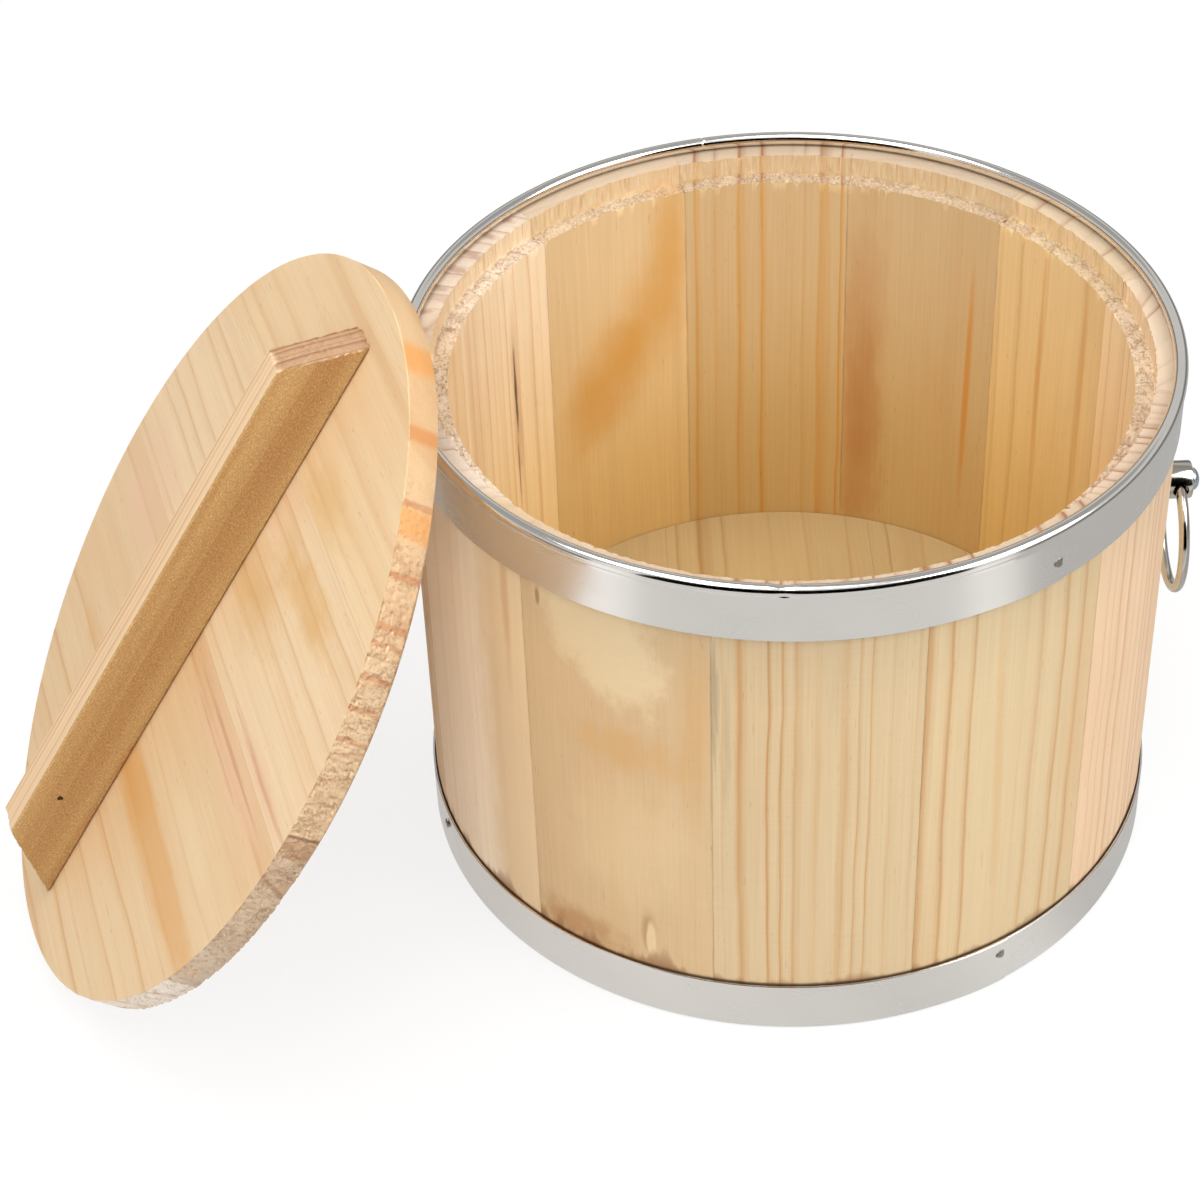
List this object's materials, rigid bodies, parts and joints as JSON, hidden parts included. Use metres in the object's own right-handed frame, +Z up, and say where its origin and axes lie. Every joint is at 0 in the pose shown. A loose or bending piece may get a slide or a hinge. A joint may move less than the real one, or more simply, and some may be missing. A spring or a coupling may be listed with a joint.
{
  "type": "rice tub",
  "caption": "Round wooden rice tub of upright staves with two steel hoops, ring pulls on both sides and a loose bar-handled lid leaning against it.",
  "frame": {"origin": "on the standing surface, under the middle of the box round the tub and its leaning lid", "axes": "+Z up along the tub's axis, +X from the leaning lid towards the tub, along the line of the two ring pulls"},
  "size_m": [0.3652, 0.2564, 0.1914],
  "materials": {
    "stave_pine": "turned and sanded pine, unvarnished",
    "floor_pine": "planed pine, unvarnished",
    "lid_pine": "planed pine, unvarnished, end grain left rough at the edge",
    "handle_pine": "sawn pine, brown at the sides",
    "hoop_steel": "rolled stainless strip, satin to bright",
    "nail_steel": "plain steel, dulled",
    "pull_nickel": "bright nickel plate",
    "screw_zinc": "zinc plate"
  },
  "bodies": {
    "tub": {"stave_01": "stave_pine", "stave_02": "stave_pine", "stave_03": "stave_pine", "stave_04": "stave_pine", "stave_05": "stave_pine", "stave_06": "stave_pine", "stave_07": "stave_pine", "stave_08": "stave_pine", "stave_09": "stave_pine", "stave_10": "stave_pine", "stave_11": "stave_pine", "stave_12": "stave_pine", "floor_board_1": "floor_pine", "floor_board_2": "floor_pine", "floor_board_3": "floor_pine", "top_hoop": "hoop_steel", "bottom_hoop": "hoop_steel", "top_hoop_nail_1": "nail_steel", "top_hoop_nail_2": "nail_steel", "top_hoop_nail_3": "nail_steel", "bottom_hoop_nail_1": "nail_steel", "bottom_hoop_nail_2": "nail_steel", "bottom_hoop_nail_3": "nail_steel", "right_washer": "pull_nickel", "right_post": "pull_nickel", "right_screw": "screw_zinc", "left_washer": "pull_nickel", "left_post": "pull_nickel", "left_screw": "screw_zinc"},
    "lid": {"lid_board_1": "lid_pine", "lid_board_2": "lid_pine", "lid_board_3": "lid_pine", "lid_board_4": "lid_pine", "lid_handle": "handle_pine", "handle_nail_1": "nail_steel", "handle_nail_2": "nail_steel"},
    "right_ring": {"right_ring": "pull_nickel"},
    "left_ring": {"left_ring": "pull_nickel"}
  },
  "joints": [
    {"name": "lid_lift", "type": "slide", "parent": "tub", "child": "lid", "axis": [0, 0, 1], "range_m": [0, 0.25]},
    {"name": "right_ring_swing", "type": "hinge", "parent": "tub", "child": "right_ring", "pos_m": [0.17626, 0.01582, 0.1104], "axis": [0, -1, 0], "range_deg": [-4, 180]},
    {"name": "left_ring_swing", "type": "hinge", "parent": "tub", "child": "left_ring", "pos_m": [-0.05614, 0.01582, 0.1104], "axis": [0, 1, 0], "range_deg": [-4, 80]}
  ]
}
